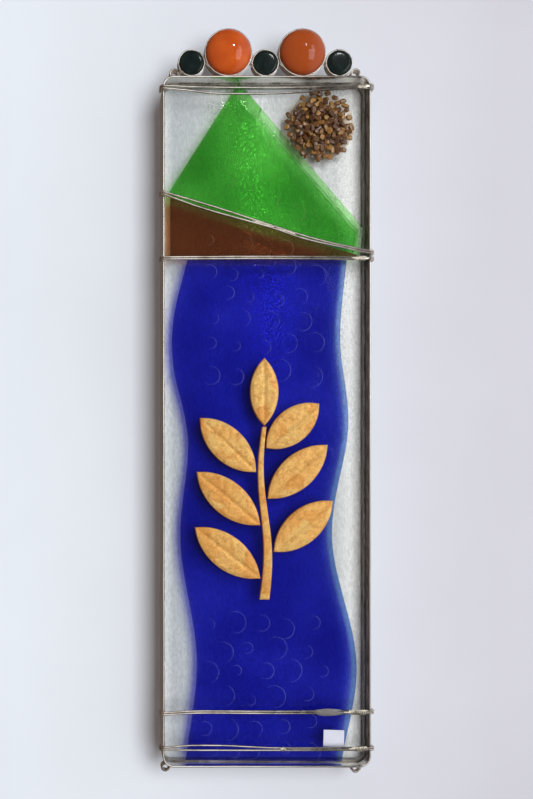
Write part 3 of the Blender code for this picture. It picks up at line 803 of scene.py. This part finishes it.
def add_blob(bm, centre, size, own, roughness=0.18, turn=Matrix.Identity(3), power=1.0, rounds=BLOB_ROUNDS,
             swell=1.7, crease=0.0):
    """A lumpy rounded body, such as a bead of solder or a seed, whose lumps depend on the number own.

    A power under 1 makes it blockier, and crease is the depth of a slanting dent across its front.
    """
    for vert in bmesh.ops.create_icosphere(bm, subdivisions=rounds, radius=1.0)["verts"]:
        way = vert.co.copy()
        grown = 1 + roughness * noise.noise(way * swell + Vector((own, 0.0, 0.0)))
        shaped = Vector([math.copysign(abs(c) ** power, c) * extent * grown for c, extent in zip(way, size)])
        shaped.y *= 1 - crease * math.exp(-((way.z + 0.5 * way.x - 0.1) / 0.16) ** 2)
        vert.co = centre + turn @ shaped


def turned(profile, centre, wobble=0.0):
    """A closed body turned about Y from (radius, y) points that start and end on the axis."""
    bm = bmesh.new()
    rings = []
    for radius, y in profile:
        if radius < MERGE:
            rings.append([bm.verts.new((centre.x, y, centre.z))])
            continue
        ring = []
        for k in range(TURN_STEPS):
            angle = 2 * math.pi * k / TURN_STEPS
            way = Vector((math.cos(angle), 0.0, math.sin(angle)))
            push = wobble * noise.noise(way * 3.0 + Vector((centre.x * 900, y * 400, 0.0)))
            ring.append(bm.verts.new(Vector((centre.x, y + push, centre.z)) + way * (radius + push)))
        rings.append(ring)
    join_rings(bm, rings)
    return bm


# ---------------------------------------------------------------- tray, panes and panels


def rounded_rectangle(name, radius, step):
    """(x, z) points of a round-cornered rectangle in a node's place, and the way straight out at each."""
    low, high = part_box(name)
    points = []
    for quarter, (side_x, side_z) in enumerate(((1, 1), (-1, 1), (-1, -1), (1, -1))):
        centre = Vector((high.x - radius if side_x > 0 else low.x + radius,
                         high.z - radius if side_z > 0 else low.z + radius))
        for k in range(CORNER_STEPS + 1):
            angle = QUARTER * (quarter + k / CORNER_STEPS)
            way = Vector((math.cos(angle), math.sin(angle)))
            points.append((centre + way * radius, way))
    finer = []
    for (here, way), (there, _) in closed_pairs(points):
        pieces = max(1, math.ceil((there - here).length / step))
        finer += [(here.lerp(there, k / pieces), way) for k in range(pieces)]
    return finer


def rim_section(low_y, high_y):
    """(distance in from the outside, y) round the sheet's section, with both edges rounded over."""
    middle, half = (low_y + high_y) / 2, (high_y - low_y) / 2 - RIM_LIP
    section = []
    for side in (1, -1):
        for k in range(RIM_DEPTH_STEPS + 1):
            section.append((SHEET * (1 - side) / 2, middle + side * half * (1 - 2 * k / RIM_DEPTH_STEPS)))
        for k in range(1, EDGE_STEPS):
            angle = 2 * QUARTER * k / EDGE_STEPS
            section.append((SHEET * (1 - side * math.cos(angle)) / 2,
                            middle - side * (half + RIM_LIP * math.sin(angle))))
    return section


def build_rim():
    """The band of sheet round the case, slightly uneven as bent and soldered by hand."""
    low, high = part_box("rim_band")
    bm = bmesh.new()
    rings = []
    section = rim_section(low.y, high.y)
    for point, way in rounded_rectangle("rim_band", CORNER_RADIUS, RIM_STEP):
        ring = []
        for depth, y in section:
            sway = wander(point.x, y, point.y, 0.016) + 0.5 * wander(point.x, y, point.y, 0.005)
            spot = point - way * (depth + RIM_WAVE * (1 + sway))
            lift = 0.6 * RIM_WAVE * wander(point.x, 0.0, point.y, 0.009)
            ring.append(bm.verts.new((spot.x, y + lift, spot.y)))
        rings.append(ring)
    join_rings(bm, rings + rings[:1])
    piece("tray_rim", bm, "rim_sheet", ["rim_band"], sharp=60)


def foil_relief(x, z):
    slanted = Vector((x * 0.8 - z * 0.6, 0.0, (x * 0.6 + z * 0.8) * 0.35))
    return FOIL_CREASE * (noise.noise(slanted / 0.0030) + 0.5 * noise.noise(slanted / 0.0013))


def glass_relief(x, z):
    return GLASS_WAVE * (wander(x, 0.0, z, 0.009) + 0.6 * wander(x, 1.0, z, 0.0035))


def mark_strip(made, outline, side, drop):
    """Writes how near each point is to the slab's strip: 1 on the outline, 0 from FUSED_STRIP inside it.

    The strip follows the right-hand side, or the left-hand one if side is -1, from drop below the top.
    """
    start_z = max(p.y for p in outline) - drop
    runs = [(start, end - start) for start, end in closed_pairs(outline)]
    edges = [(start, run) for start, run in runs if side * run.y > 0.3 * run.length and start.y <= start_z]
    strip = made.data.attributes.new("strip", "FLOAT", "POINT")
    for vert, value in zip(made.data.vertices, strip.data):
        here = Vector((vert.co.x, vert.co.z))
        away = FUSED_STRIP
        for start, run in edges:
            if abs(start.y - here.y) < 3 * FUSED_STRIP + abs(run.y):
                share = min(1.0, max(0.0, (here - start).dot(run) / run.length_squared))
                away = min(away, (here - start - run * share).length)
        value.value = 1 - away / FUSED_STRIP


def build_layers():
    """The silvered backing, the clear pane and the three pieces of coloured glass."""
    outline = outline_of("backing_sheet", LONG_STEP)
    bm = plate("backing_sheet", outline, FOIL_EDGE, FOIL_STEP, foil_relief)
    piece("foil_backing", bm, "silver_foil", ["backing_sheet"])
    bm = plate("clear_pane", outline_of("clear_pane", LONG_STEP), PANE_EDGE, PANE_STEP, glass_relief)
    piece("clear_window", bm, "clear_glass", ["clear_pane"])
    for colour, side, drop in (("green", 1, 0.013), ("brown", -1, 0.0), ("blue", 1, 0.0)):
        name = colour + "_glass"
        outline = outline_of(name, OUTLINE_STEP)
        bm = plate(name, outline, GLASS_EDGE, GLASS_STEP, glass_relief)
        mark_strip(piece(colour + "_slab", bm, name, [name]), outline, side, drop)


def add_blister(bm, x, z, front):
    """The lit right-hand edge of a blister in the glass."""
    radius = dice.uniform(*BLISTER_RADIUS)
    first, last = (math.radians(dice.uniform(*extent)) for extent in (BLISTER_START, BLISTER_END))
    path = []
    for k in range(BLISTER_STEPS + 1):
        angle = first + (last - first) * k / BLISTER_STEPS
        spot_x, spot_z = x + radius * math.cos(angle), z + radius * math.sin(angle)
        path.append(Vector((spot_x, front - glass_relief(spot_x, spot_z) - BLISTER_WIRE / 3, spot_z)))
    add_tube(bm, path, BLISTER_WIRE, BLISTER_SIDES, taper=True)


def build_blisters():
    """Rows of blisters above and below the sprig, and a few in the green and brown glass."""
    low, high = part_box("blue_glass")
    below, above = BLISTER_MARGIN
    bm = bmesh.new()
    for foot, top in ((UPPER_BLISTERS_FOOT, high.z - above), (low.z + below, low.z + LOWER_BLISTERS_HEIGHT)):
        for row in range(int((top - foot) / BLISTER_PITCH) + 1):
            x = -BLISTER_REACH + dice.uniform(0.0, BLISTER_PITCH)
            while x < BLISTER_REACH:
                z = foot + row * BLISTER_PITCH + dice.uniform(-BLISTER_STAGGER, BLISTER_STAGGER)
                add_blister(bm, x, z, low.y)
                x += BLISTER_PITCH * dice.uniform(0.8, 1.3)
    piece("blue_blisters", bm, "blue_blisters")
    bm = bmesh.new()
    for name, places in LONE_BLISTERS.items():
        low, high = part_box(name)
        for share, rise in places:
            add_blister(bm, low.x + share * (high.x - low.x), low.z + rise * (high.z - low.z), low.y)
    piece("warm_blisters", bm, "warm_blisters")


def build_joint_putty():
    """The dark cement between pane and tray: a ribbon round the pane and an uneven line along its front."""
    front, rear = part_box("clear_pane")[0].y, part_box("backing_sheet")[1].y
    bm = bmesh.new()
    border = rounded_rectangle("clear_pane", CORNER_RADIUS - SHEET, BORDER_STEP)
    wavy = []
    for p, _ in border:
        depth = front + 0.0002 + 0.00015 * wander(p.x, front, p.y, 0.003)
        wavy.append(Vector((p.x, depth, p.y + 0.00016 * wander(p.y, p.x, 0.0, 0.002))))
    add_tube(bm, wavy + wavy[:1], PUTTY_RADIUS, 8, lumps=0.8, lump_size=0.0020)
    near, far = PUTTY_GAP
    section = ((near, front), (far, front), (far, rear), (near, rear))
    rings = [[bm.verts.new((p.x + way.x * reach, y, p.y + way.y * reach)) for reach, y in section]
             for p, way in border]
    join_rings(bm, rings + rings[:1])
    piece("joint_putty", bm, "joint_putty")


# ---------------------------------------------------------------- gilded sprig


def leaf_relief(outline):
    """A leaf's crown, the groove of its middle rib and its slanting veins, along its longest line."""
    pairs = ((a, b) for a in outline for b in outline)
    foot, tip = sorted(max(pairs, key=lambda pair: (pair[0] - pair[1]).length), key=lambda p: p.y)
    way, length = (tip - foot).normalized(), (tip - foot).length

    def relief(x, z):
        offset = Vector((x, z)) - foot
        run, aside = offset.dot(way), abs(offset.cross(way))
        rib = -RIB_DEPTH * math.exp(-(aside / RIB_WIDTH) ** 2)
        slant = (run - 0.9 * aside) / VEIN_PITCH
        vein = -VEIN_DEPTH * max(0.0, math.cos(2 * math.pi * slant)) ** 6 * min(1.0, aside / 0.0015)
        crown = LEAF_CROWN * (1 - (2 * run / length - 1) ** 2)
        return rib + vein + crown + crinkle(x, z)

    return relief


def crinkle(x, z):
    """Fine creases of laid leaf: narrow ridges along the borders of irregular cells."""
    place = Vector((x, 0.0, z)) / CRINKLE_SIZE
    place += 0.5 * noise.noise_vector(place * 0.8)
    distances, _ = noise.voronoi(place)
    return CRINKLE * (math.exp(-(distances[1] - distances[0]) / 0.08) + 0.6 * noise.noise(place * 2.3))


def build_sprig():
    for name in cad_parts:
        if name.startswith(("leaf_", "sprig_stem")):
            outline = outline_of(name, GILT_STEP)
            stem = name == "sprig_stem"
            relief = crinkle if stem else leaf_relief(outline)
            bm = plate(name, outline, GILT_EDGE, GILT_STEP, relief)
            piece("gilded_stem" if stem else "gilded_" + name, bm, "gold_leaf", [name])


# ---------------------------------------------------------------- wires, loops and solder


def strand_run(name):
    """Points along the middle of a strand's front run, from left to right, and its radius."""
    low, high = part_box(name)
    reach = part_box("rim_band")[1].x
    radius = (high.x - low.x - reach * 2 - WIRE_GAP) / 4
    front = low.y + 2 * radius + ON_FACE
    places = sorted({tuple(v.co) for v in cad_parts[name].data.vertices
                     if v.co.y < front and abs(v.co.x) < reach})
    rings = [[Vector(places[0])]]
    for place in places[1:]:
        if place[0] - rings[-1][-1].x > WIRE_GAP:
            rings.append([])
        rings[-1].append(Vector(place))
    middles = [sum(ring, Vector()) / len(ring) for ring in rings]
    for middle in middles:
        middle.y = low.y + radius
    return middles, radius


def strand_path(name):
    """The whole strand: a leg along the tray's side, a bend, the front run, a bend and the other leg."""
    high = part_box(name)[1]
    run, radius = strand_run(name)
    bend_x = high.x - radius - WIRE_BEND
    ends = []
    for side, near in ((-1, run[0]), (1, run[-1])):
        centre = Vector((side * bend_x, run[0].y + WIRE_BEND, near.z))
        end = [Vector((centre.x + side * WIRE_BEND, high.y, near.z))]
        for k in range(WIRE_BEND_STEPS + 1):
            angle = QUARTER * k / WIRE_BEND_STEPS
            end.append(centre + WIRE_BEND * Vector((side * math.cos(angle), -math.sin(angle), 0.0)))
        ends.append(end)
    inner = [p for p in run if abs(p.x) < bend_x - 0.001]
    path = along(ends[0] + inner + ends[1][::-1], WIRE_STEP)
    pull = PAIR_PULL * (-1 if name.endswith("upper") else 1)
    sways = [pull + WIRE_WANDER * wander(p.x, p.y, p.z * 40, 0.010) for p in path]
    return [p + Vector((0.0, 0.0, sway)) for p, sway in zip(path, sways)], radius


def build_wires():
    for name in sorted(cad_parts):
        if name.endswith(("_wire_upper", "_wire_lower")):
            path, radius = strand_path(name)
            bm = bmesh.new()
            add_tube(bm, path, radius, lumps=0.05, lump_size=0.006)
            piece("strand_" + name, bm, "tinned_wire", [name])


def build_loops():
    """Nail loops: close coils of wire whose axis is square to the wall."""
    for name in nodes_like("nail_loop"):
        low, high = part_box(name)
        middle = (low + high) / 2
        reach = (high.x - low.x) / 2 - LOOP_WIRE_RADIUS
        depth = high.y - low.y - 2 * LOOP_WIRE_RADIUS
        steps = int(LOOP_TURNS * LOOP_STEPS_PER_TURN)
        path = []
        for k in range(steps + 1):
            angle = 2 * math.pi * k / LOOP_STEPS_PER_TURN
            y = low.y + LOOP_WIRE_RADIUS + depth * k / steps
            path.append(Vector((middle.x + reach * math.cos(angle), y, middle.z + reach * math.sin(angle))))
        bm = bmesh.new()
        add_tube(bm, path, LOOP_WIRE_RADIUS, lumps=0.08)
        piece("wire_" + name, bm, "tinned_wire", [name])


def scatter():
    return dice.uniform(-BEAD_SCATTER, BEAD_SCATTER)


def own_number():
    """A random number that gives a blob its own lumps."""
    return dice.random() * 50


def build_solder():
    """Solder that fills stretches between two strands, and beads that hold the strands to the rim."""
    made = {"solder": bmesh.new(), "dull_solder": bmesh.new()}
    runs = {pair: [strand_run(f"{pair}_wire_{which}") for which in ("upper", "lower")]
            for pair in ("top", "slope", "level", "lower", "base")}
    for pair, first, last, half_height, look in SOLDER_RUNS:
        (upper, radius), (lower, _) = runs[pair]
        start, end = (middle_at(upper, lower, share) for share in (first, last))
        way = end - start
        turn = Matrix.Rotation(-math.atan2(way.z, way.x), 3, "Y")
        size = (way.length / 2, radius * 0.95, half_height)
        add_blob(made[look], (start + end) / 2 - Vector((0.0, radius * 0.25, 0.0)), size, own_number(), 0.16,
                 turn, 0.85, RUN_ROUNDS)
    for (upper, _), (lower, _) in runs.values():
        for end in (upper[0], upper[-1], lower[0], lower[-1]):
            spot = end + Vector((scatter(), 0.0003, scatter()))
            add_blob(made["solder"], spot, END_BEAD, own_number())
    for look, bm in made.items():
        piece(look + "_beads", bm, look)


def middle_at(upper, lower, share):
    """The point between two strands at a share of the way from left to right."""
    places = []
    for run in (upper, lower):
        x = run[0].x + share * (run[-1].x - run[0].x)
        after = next(i for i, p in enumerate(run) if p.x >= x - ON_FACE and i)
        near, far = run[after - 1], run[after]
        places.append(near.lerp(far, (x - near.x) / (far.x - near.x)))
    return (places[0] + places[1]) / 2


# ---------------------------------------------------------------- crown


def build_bezel(name):
    """A thin cup whose front lip is pressed over the stone's edge."""
    low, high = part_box(name)
    centre, radius = (low + high) / 2, (high.x - low.x) / 2
    inner, floor = radius - BEZEL_WALL, high.y - BEZEL_WALL
    profile = [(0.0, floor), (inner, floor), (inner, low.y + 0.0009), (inner - BEZEL_LIP, low.y + 0.0003)]
    half = (BEZEL_WALL + BEZEL_LIP) / 2
    for k in range(EDGE_STEPS + 1):
        angle = 2 * QUARTER * k / EDGE_STEPS
        profile.append((radius - half - half * math.cos(angle), low.y + BEZEL_ROUND * (1 - math.sin(angle))))
    profile += [(radius, high.y - BEZEL_ROUND), (radius - BEZEL_ROUND, high.y), (0.0, high.y)]
    piece("set_" + name, turned(profile, centre, 0.00005), "bezel_silver", [name], sharp=50)


def build_stone(name):
    """A cabochon: domed if it stands well proud of its bezel, else flat with a rounded shoulder."""
    low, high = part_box(name)
    radius = (high.x - low.x) / 2 + STONE_GRIP
    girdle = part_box(name.replace("stone", "bezel"))[0].y
    rise = girdle - low.y
    domed = rise > DOME_RISE
    power = 1.0 if domed else FLAT_SHOULDER
    profile = [(0.0, high.y), (radius, high.y)]
    for k in range(DOME_RINGS):
        angle = QUARTER * k / DOME_RINGS
        profile.append((radius * math.cos(angle) ** power, girdle - rise * math.sin(angle)))
    profile.append((0.0, low.y))
    look = "carnelian" if domed else "dark_stone"
    piece("set_" + name, turned(profile, (low + high) / 2), look, [name], sharp=60)


def build_crown():
    """The five set stones, and the solder between their bezels and under them."""
    bezels = nodes_like("bezel_")
    for name in bezels:
        build_bezel(name)
        build_stone(name.replace("bezel", "stone"))
    bm = bmesh.new()
    boxes = sorted((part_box(name) for name in bezels), key=lambda box: box[0].x)
    for (low, high), (next_low, next_high) in zip(boxes, boxes[1:]):
        own, other = high.x - low.x, next_high.x - next_low.x
        touch = ((low + high) / 2).lerp((next_low + next_high) / 2, own / (own + other))
        for drop in TOUCH_DROPS:
            spot = Vector((touch.x + scatter(), low.y + 0.0012, touch.z + drop))
            add_blob(bm, spot, TOUCH_BEAD, own_number(), 0.3)
    rim_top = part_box("rim_band")[1].z
    for low, high in boxes:
        middle = (low + high) / 2
        for side in (-1, 1):
            spot = Vector((middle.x + side * dice.uniform(0.0010, 0.0018), middle.y, rim_top + 0.0002))
            add_blob(bm, spot, FOOT_BEAD, own_number(), 0.3)
    piece("solder_crown", bm, "solder")


# ---------------------------------------------------------------- seeds and label


def heap_spot(reach):
    """A random place in the heap's uneven round outline, measured from its middle."""
    away, angle = reach * math.sqrt(dice.random()), dice.uniform(0, 2 * math.pi)
    way = Vector((math.cos(angle), math.sin(angle)))
    return way * away * (0.95 + 0.12 * noise.noise(Vector((way.x * 1.5, way.y * 1.5, 0.0))))


def build_seeds():
    """A heap of seeds, deeper in its middle, in a puddle of glue."""
    low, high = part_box("seed_cluster")
    centre, reach = (low + high) / 2, (high.x - low.x) / 2
    bm = bmesh.new()
    for level, (count, share) in enumerate(SEED_LAYERS):
        placed = []
        for _ in range(count):
            spot = max((heap_spot(share * reach) for _ in range(SEED_TRIES)),
                       key=lambda p: min([(p - other).length for other in placed], default=reach))
            placed.append(spot)
            size = [dice.uniform(*extent) / 2 for extent in (SEED_LENGTH, SEED_DEPTH, SEED_WIDTH)]
            tilt = 0.12 + 0.22 * level
            turn = (Matrix.Rotation(dice.uniform(0, math.pi), 3, "Y")
                    @ Matrix.Rotation(dice.uniform(-tilt, tilt), 3, "X")
                    @ Matrix.Rotation(dice.uniform(-tilt, tilt), 3, "Z"))
            place = Vector((centre.x + spot.x, high.y - SEED_FOOT - LAYER_RISE * level, centre.z + spot.y))
            add_blob(bm, place, size, own_number(), 0.26, turn, 0.58, swell=1.5, crease=0.30)
    piece("seed_heap", bm, "seeds", ["seed_cluster"], sharp=70)
    profile = [(0.0, high.y)] + [(reach * share, high.y - rise) for share, rise in GLUE_RINGS]
    piece("seed_glue", turned(profile, centre, GLUE_WAVE), "clear_glue")


def build_label():
    low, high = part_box("blank_label")

    def curl(x, z):
        return LABEL_CURL * max(0.0, (x - low.x) / (high.x - low.x) - 0.55) * (z - low.z) / (high.z - low.z)

    bm = plate("blank_label", outline_of("blank_label", LABEL_STEP), 0.00005, LABEL_STEP, curl)
    piece("paper_label", bm, "label_paper", ["blank_label"])


# ---------------------------------------------------------------- rear


def build_rear_seam():
    """The solder bead between the rear panel and the tray."""
    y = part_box("rear_panel")[1].y - SEAM_RADIUS * 1.2
    border = rounded_rectangle("rear_panel", CORNER_RADIUS - SHEET, BORDER_STEP)
    path = [Vector((point.x, y, point.y)) for point, _ in border]
    bm = bmesh.new()
    add_tube(bm, path + path[:1], SEAM_RADIUS, 10, lumps=0.35, lump_size=0.0045)
    piece("rear_seam", bm, "solder")


def dress_frame():
    """Gives every node that still shows its material and softly worn edges."""
    own_looks = {"scroll": "parchment", "scroll_cover": "cover_sheet"}
    for name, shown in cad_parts.items():
        if shown.hide_render:
            continue
        look = own_looks.get(name, "spacer_wood" if name.startswith("spacer") else "tinned_sheet")
        shown.data.materials.clear()
        shown.data.materials.append(finish[look])
        shown.modifiers.new("weld", "WELD").merge_threshold = MERGE
        bevel = shown.modifiers.new("worn edge", "BEVEL")
        bevel.width = WORN_EDGE
        bevel.segments = 2
        bevel.limit_method = "ANGLE"
        bevel.angle_limit = SHARP_TURN


# ---------------------------------------------------------------- stage, lights and camera


def build_stage():
    """A wall behind the case and a floor below it. Neither lights the case."""
    across, back, up = (STAGE_HALF * way for way in Matrix.Identity(3))
    squares = (("wall", Vector((0.0, WALL_Y, 0.0)), up), ("floor", Vector((0.0, 0.0, FLOOR_Z)), back))
    for name, centre, rise in squares:
        bm = bmesh.new()
        corners = ((-1, -1), (1, -1), (1, 1), (-1, 1))
        bm.faces.new([bm.verts.new(centre + a * across + b * rise) for a, b in corners])
        made = add_mesh(name, bm, "pale_" + name)
        made.visible_shadow = name == "floor"
        made.visible_diffuse = False
        made.visible_glossy = False


def add_light(name, place, width, height, power, receivers, shine):
    """A soft rectangular light that faces the case, for only the receivers if there are any."""
    data = bpy.data.lights.new(name, "AREA")
    data.shape = "RECTANGLE"
    data.size = width
    data.size_y = height
    data.energy = power
    lamp = bpy.data.objects.new(name, data)
    lamp.location = place
    lamp.rotation_euler = (-Vector(place)).to_track_quat("-Z", "Y").to_euler()
    lamp.visible_diffuse = not shine
    lamp.visible_glossy = shine
    bpy.context.scene.collection.objects.link(lamp)
    if receivers:
        group = bpy.data.collections.new(name + "_receivers")
        for shown in receivers:
            group.objects.link(shown)
        lamp.light_linking.receiver_collection = group


def build_lights():
    """Window light from the right, its reflections, glints for the foil and a light for the rear."""
    shown = [made for made in bpy.data.objects if made.type == "MESH"]
    groups = {
        "all": [],
        "front": [made for made in shown if made.name != "floor"],
        "case": [made for made in shown if made.name not in ("floor", "wall")],
    }
    for name, place, width, height, power, lit, shine in LIGHTS:
        receivers = groups[lit] if lit in groups else [made for made in shown if made.name.startswith(lit)]
        add_light(name, place, width, height, power, receivers, shine)


def build_world():
    """A room that is brown on the left, dark in the middle and pale on the right, and behind, brown to grey.

    The camera itself sees a plain pale background.
    """
    world = bpy.data.worlds.new("room")
    bpy.context.scene.world = world
    open_tree(world)
    way = node("TexCoord").outputs["Generated"]
    across = spread(axis("X", way), -1.0, 1.0)
    front = ramp(across, (0.10, (0.23, 0.185, 0.160)), (0.46, (0.18, 0.145, 0.125)),
                 (0.54, (0.07, 0.065, 0.062)), (0.68, (0.08, 0.078, 0.076)), (0.78, (0.45, 0.45, 0.47)),
                 (0.92, (0.72, 0.73, 0.76)))
    rear = ramp(across, (0.45, (0.10, 0.075, 0.060)), (0.60, (0.62, 0.63, 0.66)))
    room = blend(spread(axis("Y", way), -0.05, 0.25), front, rear)
    seen = blend(node("LightPath").outputs["Is Camera Ray"], room, (0.66, 0.67, 0.70))
    node("OutputWorld", {"Surface": node("Background", {"Color": seen}).outputs["Background"]})


def build_camera():
    """Looks straight at the case from its lower left. The lens is shifted only from that place."""
    data = bpy.data.cameras.new("camera")
    data.lens = CAMERA_LENS
    camera = bpy.data.objects.new("camera", data)
    camera.location = CAMERA_PLACE
    camera.rotation_euler = (QUARTER, 0.0, 0.0)
    bpy.context.scene.collection.objects.link(camera)
    bpy.context.scene.camera = camera
    for axis_name, shift in zip(("shift_x", "shift_y"), CAMERA_SHIFT):
        driver = data.driver_add(axis_name).driver
        driver.type = "SCRIPTED"
        depth = driver.variables.new()
        depth.name = "depth"
        depth.type = "TRANSFORMS"
        depth.targets[0].id = camera
        depth.targets[0].transform_type = "LOC_Y"
        driver.expression = f"{shift} if abs(depth - {CAMERA_PLACE.y:.4f}) < 0.0001 else 0.0"


def set_picture():
    scene = bpy.context.scene
    scene.view_settings.view_transform = "Standard"
    scene.cycles.transparent_max_bounces = 32
    scene.cycles.max_bounces = 10
    scene.cycles.sample_clamp_indirect = 4.0


for build in (build_rim, build_layers, build_blisters, build_joint_putty, build_sprig, build_wires,
              build_loops, build_solder, build_crown, build_seeds, build_label, build_rear_seam, dress_frame,
              build_stage, build_lights, build_world, build_camera, set_picture):
    build()
